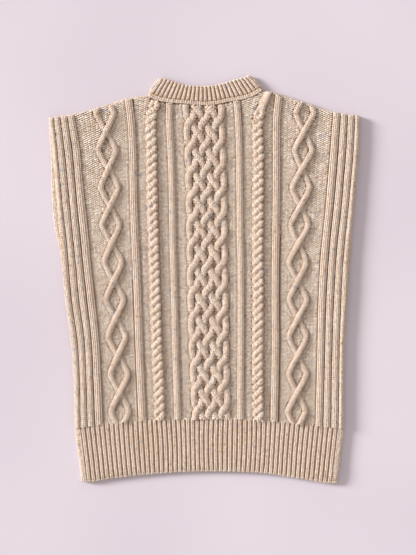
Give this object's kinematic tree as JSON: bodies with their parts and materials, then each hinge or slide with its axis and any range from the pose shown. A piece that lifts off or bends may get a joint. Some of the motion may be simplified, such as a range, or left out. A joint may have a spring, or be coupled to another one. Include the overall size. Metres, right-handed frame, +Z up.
{
  "type": "sweater vest",
  "caption": "Chunky cable-knit sweater vest with wide ribbed sides, deep hem rib and ribbed crew neckband, laid flat with its back up.",
  "frame": {"origin": "centre of the bounding box at its bottom, on the surface that the vest lies on", "axes": "+Z up out of the surface, out of the back of the vest; +Y towards the neck, -Y towards the hem; +X towards the right of the picture"},
  "size_m": [0.4981, 0.6528, 0.0145],
  "materials": {
    "knit": "heathered oatmeal wool yarn, chunky cable knit, matt and slightly hairy",
    "rib": "heathered oatmeal wool yarn, 1x1 rib, matt and slightly hairy"
  },
  "bodies": {
    "root": {"back_panel": "knit", "front_panel": "knit", "back_hem_rib": "rib", "front_hem_rib": "rib", "neckband": "rib"}
  },
  "joints": []
}
